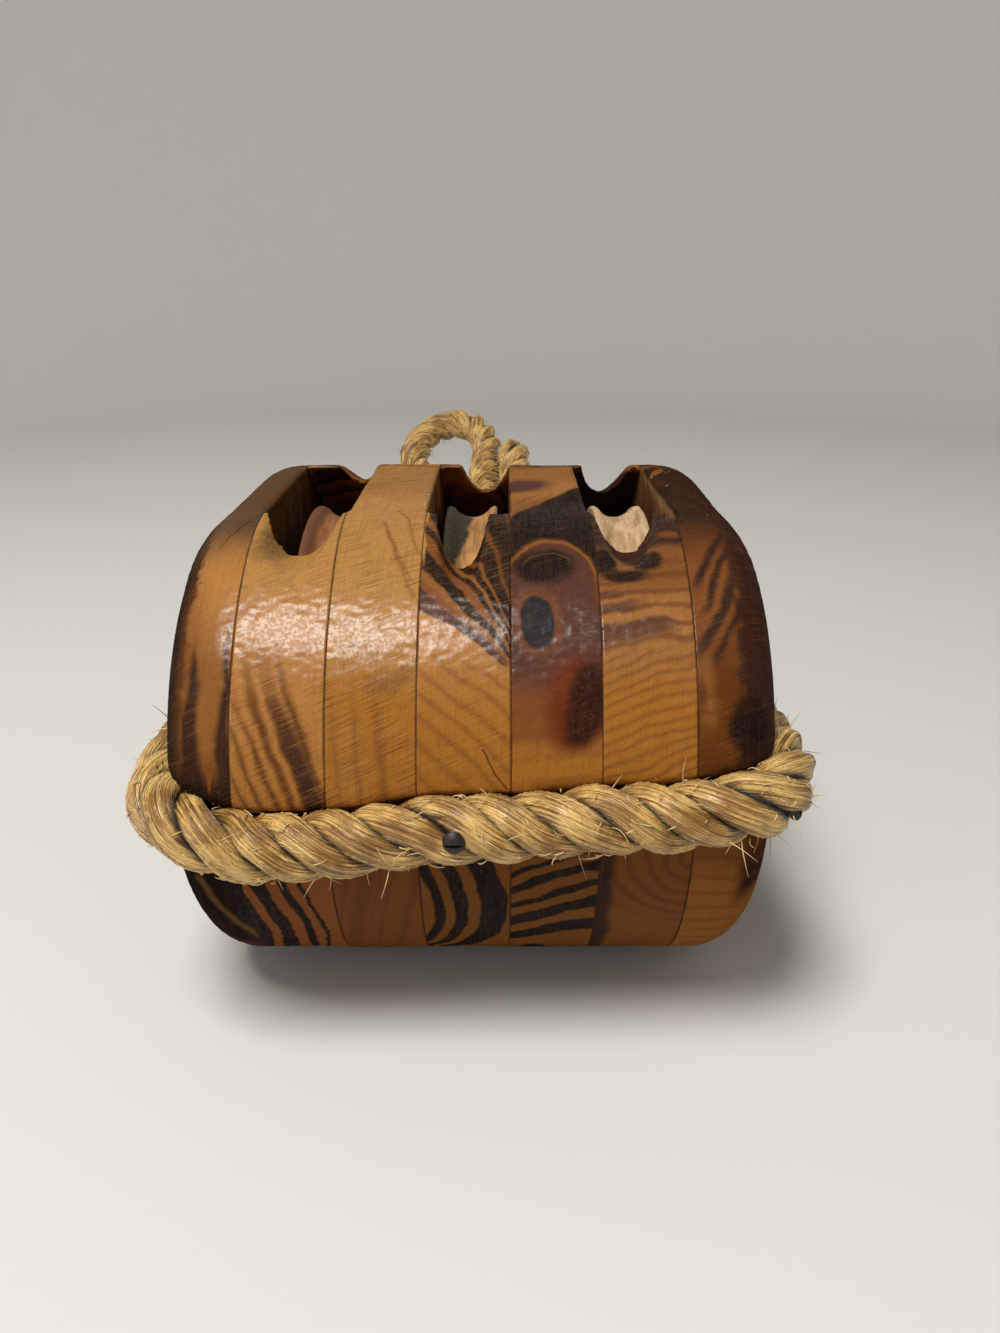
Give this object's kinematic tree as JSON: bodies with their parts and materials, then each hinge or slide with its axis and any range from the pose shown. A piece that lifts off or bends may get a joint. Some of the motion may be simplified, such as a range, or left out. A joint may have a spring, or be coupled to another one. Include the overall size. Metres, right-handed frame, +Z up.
{
  "type": "triple sheave block",
  "caption": "Rope-stropped wooden pulley block: laminated shell, grooved sheaves on one pin in open swallows, and a rope eye at the crown.",
  "frame": {"origin": "middle of the sheave pin, in the centre sheave and halfway up the shell", "axes": "+X along the pin to the right cheek, +Y from the tail to the crown and its eye, +Z up"},
  "size_m": [0.1495, 0.3688, 0.113],
  "materials": {
    "left_cheek_wood": "torch-burnt grain under gloss varnish",
    "left_partition_wood": "torch-burnt grain under gloss varnish",
    "right_partition_wood": "torch-burnt grain under gloss varnish",
    "right_cheek_wood": "torch-burnt grain under gloss varnish",
    "filler_left_wood": "torch-burnt grain under gloss varnish",
    "filler_centre_wood": "torch-burnt grain under gloss varnish",
    "filler_right_wood": "torch-burnt grain under gloss varnish",
    "sheave_left_wood": "torch-burnt grain under gloss varnish",
    "sheave_centre_wood": "torch-burnt grain under gloss varnish",
    "sheave_right_wood": "bare, tool-marked",
    "manila_rope": "three-strand manila",
    "seizing_twine": "hard-laid twine",
    "pin_steel": "bright drawn rod",
    "screw_steel": "blackened"
  },
  "bodies": {
    "shell": {"left_cheek": "left_cheek_wood", "left_partition": "left_partition_wood", "right_partition": "right_partition_wood", "right_cheek": "right_cheek_wood", "tail_filler_left": "filler_left_wood", "tail_filler_centre": "filler_centre_wood", "tail_filler_right": "filler_right_wood", "crown_filler_left": "filler_left_wood", "crown_filler_centre": "filler_centre_wood", "crown_filler_right": "filler_right_wood", "sheave_pin": "pin_steel", "strop": "manila_rope", "throat_seizing": "seizing_twine", "tail_screw": "screw_steel", "corner_screw": "screw_steel"},
    "sheave_left": {"sheave_left": "sheave_left_wood"},
    "sheave_centre": {"sheave_centre": "sheave_centre_wood"},
    "sheave_right": {"sheave_right": "sheave_right_wood"}
  },
  "joints": [
    {"name": "left_spin", "type": "hinge", "parent": "shell", "child": "sheave_left", "pos_m": [-0.0356, 0, 0], "axis": [1, 0, 0], "continuous": true},
    {"name": "centre_spin", "type": "hinge", "parent": "shell", "child": "sheave_centre", "pos_m": [0, 0, 0], "axis": [1, 0, 0], "continuous": true},
    {"name": "right_spin", "type": "hinge", "parent": "shell", "child": "sheave_right", "pos_m": [0.0389, 0, 0], "axis": [1, 0, 0], "continuous": true}
  ]
}
